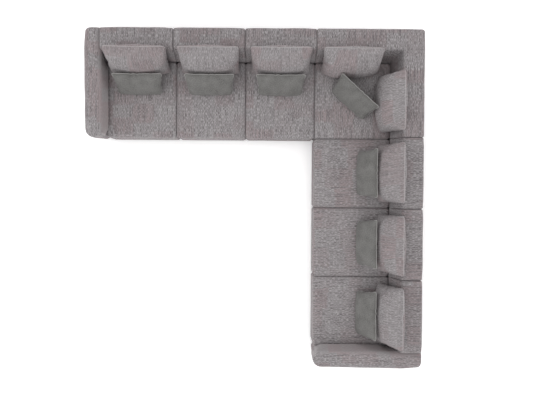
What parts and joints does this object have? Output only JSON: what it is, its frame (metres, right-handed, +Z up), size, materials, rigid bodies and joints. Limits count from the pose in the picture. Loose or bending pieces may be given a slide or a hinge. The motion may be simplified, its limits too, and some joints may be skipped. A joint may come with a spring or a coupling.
{
  "type": "sectional corner sofa",
  "caption": "Modular corner sofa in an L, low straight backs and a slim arm at each free end, with loose back cushions and small lumbar pillows.",
  "frame": {"origin": "on the floor, under the centre of the square that the L fills", "axes": "+Z up, +X along the back row towards the corner, +Y along the side row towards the corner"},
  "size_m": [3.315, 3.315, 0.876],
  "materials": {
    "sofa_fabric": "matte",
    "pillow_fabric": "matte",
    "webbing": "matte",
    "plinth_timber": "matte",
    "zinc_plated_steel": "satin"
  },
  "bodies": {
    "sofa": {"back_row_1_plinth": "plinth_timber", "back_row_1_base_frame": "sofa_fabric", "back_row_1_webbing_deck": "webbing", "back_row_1_seat_cushion": "sofa_fabric", "back_row_1_backrest": "sofa_fabric", "back_row_2_plinth": "plinth_timber", "back_row_2_base_frame": "sofa_fabric", "back_row_2_webbing_deck": "webbing", "back_row_2_seat_cushion": "sofa_fabric", "back_row_2_backrest": "sofa_fabric", "back_row_3_plinth": "plinth_timber", "back_row_3_base_frame": "sofa_fabric", "back_row_3_webbing_deck": "webbing", "back_row_3_seat_cushion": "sofa_fabric", "back_row_3_backrest": "sofa_fabric", "side_row_1_plinth": "plinth_timber", "side_row_1_base_frame": "sofa_fabric", "side_row_1_webbing_deck": "webbing", "side_row_1_seat_cushion": "sofa_fabric", "side_row_1_backrest": "sofa_fabric", "side_row_2_plinth": "plinth_timber", "side_row_2_base_frame": "sofa_fabric", "side_row_2_webbing_deck": "webbing", "side_row_2_seat_cushion": "sofa_fabric", "side_row_2_backrest": "sofa_fabric", "side_row_3_plinth": "plinth_timber", "side_row_3_base_frame": "sofa_fabric", "side_row_3_webbing_deck": "webbing", "side_row_3_seat_cushion": "sofa_fabric", "side_row_3_backrest": "sofa_fabric", "corner_plinth": "plinth_timber", "corner_base_frame": "sofa_fabric", "corner_webbing_deck": "webbing", "corner_seat_cushion": "sofa_fabric", "corner_backrest": "sofa_fabric", "back_row_arm": "sofa_fabric", "back_row_arm_bracket": "zinc_plated_steel", "back_row_connector_1": "zinc_plated_steel", "back_row_connector_2": "zinc_plated_steel", "back_row_connector_3": "zinc_plated_steel", "side_row_arm": "sofa_fabric", "side_row_arm_bracket": "zinc_plated_steel", "side_row_connector_1": "zinc_plated_steel", "side_row_connector_2": "zinc_plated_steel", "side_row_connector_3": "zinc_plated_steel"},
    "back_row_1_back_cushion": {"back_row_1_back_cushion": "sofa_fabric"},
    "back_row_1_lumbar_pillow": {"back_row_1_lumbar_pillow": "pillow_fabric"},
    "back_row_2_back_cushion": {"back_row_2_back_cushion": "sofa_fabric"},
    "back_row_2_lumbar_pillow": {"back_row_2_lumbar_pillow": "pillow_fabric"},
    "back_row_3_back_cushion": {"back_row_3_back_cushion": "sofa_fabric"},
    "back_row_3_lumbar_pillow": {"back_row_3_lumbar_pillow": "pillow_fabric"},
    "side_row_1_back_cushion": {"side_row_1_back_cushion": "sofa_fabric"},
    "side_row_1_lumbar_pillow": {"side_row_1_lumbar_pillow": "pillow_fabric"},
    "side_row_2_back_cushion": {"side_row_2_back_cushion": "sofa_fabric"},
    "side_row_2_lumbar_pillow": {"side_row_2_lumbar_pillow": "pillow_fabric"},
    "side_row_3_back_cushion": {"side_row_3_back_cushion": "sofa_fabric"},
    "side_row_3_lumbar_pillow": {"side_row_3_lumbar_pillow": "pillow_fabric"},
    "corner_rear_back_cushion": {"corner_rear_back_cushion": "sofa_fabric"},
    "corner_side_back_cushion": {"corner_side_back_cushion": "sofa_fabric"},
    "corner_lumbar_pillow": {"corner_lumbar_pillow": "pillow_fabric"}
  },
  "joints": [
    {"name": "back_row_1_back_cushion_lift", "type": "slide", "parent": "sofa", "child": "back_row_1_back_cushion", "axis": [0, 0.342, 0.9397], "range_m": [0, 0.4]},
    {"name": "back_row_1_lumbar_pillow_lift", "type": "slide", "parent": "sofa", "child": "back_row_1_lumbar_pillow", "axis": [0, -0.1736, 0.9848], "range_m": [0, 0.35]},
    {"name": "back_row_2_back_cushion_lift", "type": "slide", "parent": "sofa", "child": "back_row_2_back_cushion", "axis": [0, 0.342, 0.9397], "range_m": [0, 0.4]},
    {"name": "back_row_2_lumbar_pillow_lift", "type": "slide", "parent": "sofa", "child": "back_row_2_lumbar_pillow", "axis": [0, -0.1736, 0.9848], "range_m": [0, 0.35]},
    {"name": "back_row_3_back_cushion_lift", "type": "slide", "parent": "sofa", "child": "back_row_3_back_cushion", "axis": [0, 0.342, 0.9397], "range_m": [0, 0.4]},
    {"name": "back_row_3_lumbar_pillow_lift", "type": "slide", "parent": "sofa", "child": "back_row_3_lumbar_pillow", "axis": [0, -0.1736, 0.9848], "range_m": [0, 0.35]},
    {"name": "side_row_1_back_cushion_lift", "type": "slide", "parent": "sofa", "child": "side_row_1_back_cushion", "axis": [0.342, 0, 0.9397], "range_m": [0, 0.4]},
    {"name": "side_row_1_lumbar_pillow_lift", "type": "slide", "parent": "sofa", "child": "side_row_1_lumbar_pillow", "axis": [-0.1736, 0, 0.9848], "range_m": [0, 0.35]},
    {"name": "side_row_2_back_cushion_lift", "type": "slide", "parent": "sofa", "child": "side_row_2_back_cushion", "axis": [0.342, 0, 0.9397], "range_m": [0, 0.4]},
    {"name": "side_row_2_lumbar_pillow_lift", "type": "slide", "parent": "sofa", "child": "side_row_2_lumbar_pillow", "axis": [-0.1736, 0, 0.9848], "range_m": [0, 0.35]},
    {"name": "side_row_3_back_cushion_lift", "type": "slide", "parent": "sofa", "child": "side_row_3_back_cushion", "axis": [0.342, 0, 0.9397], "range_m": [0, 0.4]},
    {"name": "side_row_3_lumbar_pillow_lift", "type": "slide", "parent": "sofa", "child": "side_row_3_lumbar_pillow", "axis": [-0.1736, 0, 0.9848], "range_m": [0, 0.35]},
    {"name": "corner_rear_back_cushion_lift", "type": "slide", "parent": "sofa", "child": "corner_rear_back_cushion", "axis": [0, 0.342, 0.9397], "range_m": [0, 0.4]},
    {"name": "corner_side_back_cushion_lift", "type": "slide", "parent": "sofa", "child": "corner_side_back_cushion", "axis": [0.342, 0, 0.9397], "range_m": [0, 0.4]},
    {"name": "corner_lumbar_pillow_lift", "type": "slide", "parent": "sofa", "child": "corner_lumbar_pillow", "axis": [-0.1162, -0.129, 0.9848], "range_m": [0, 0.35]}
  ]
}
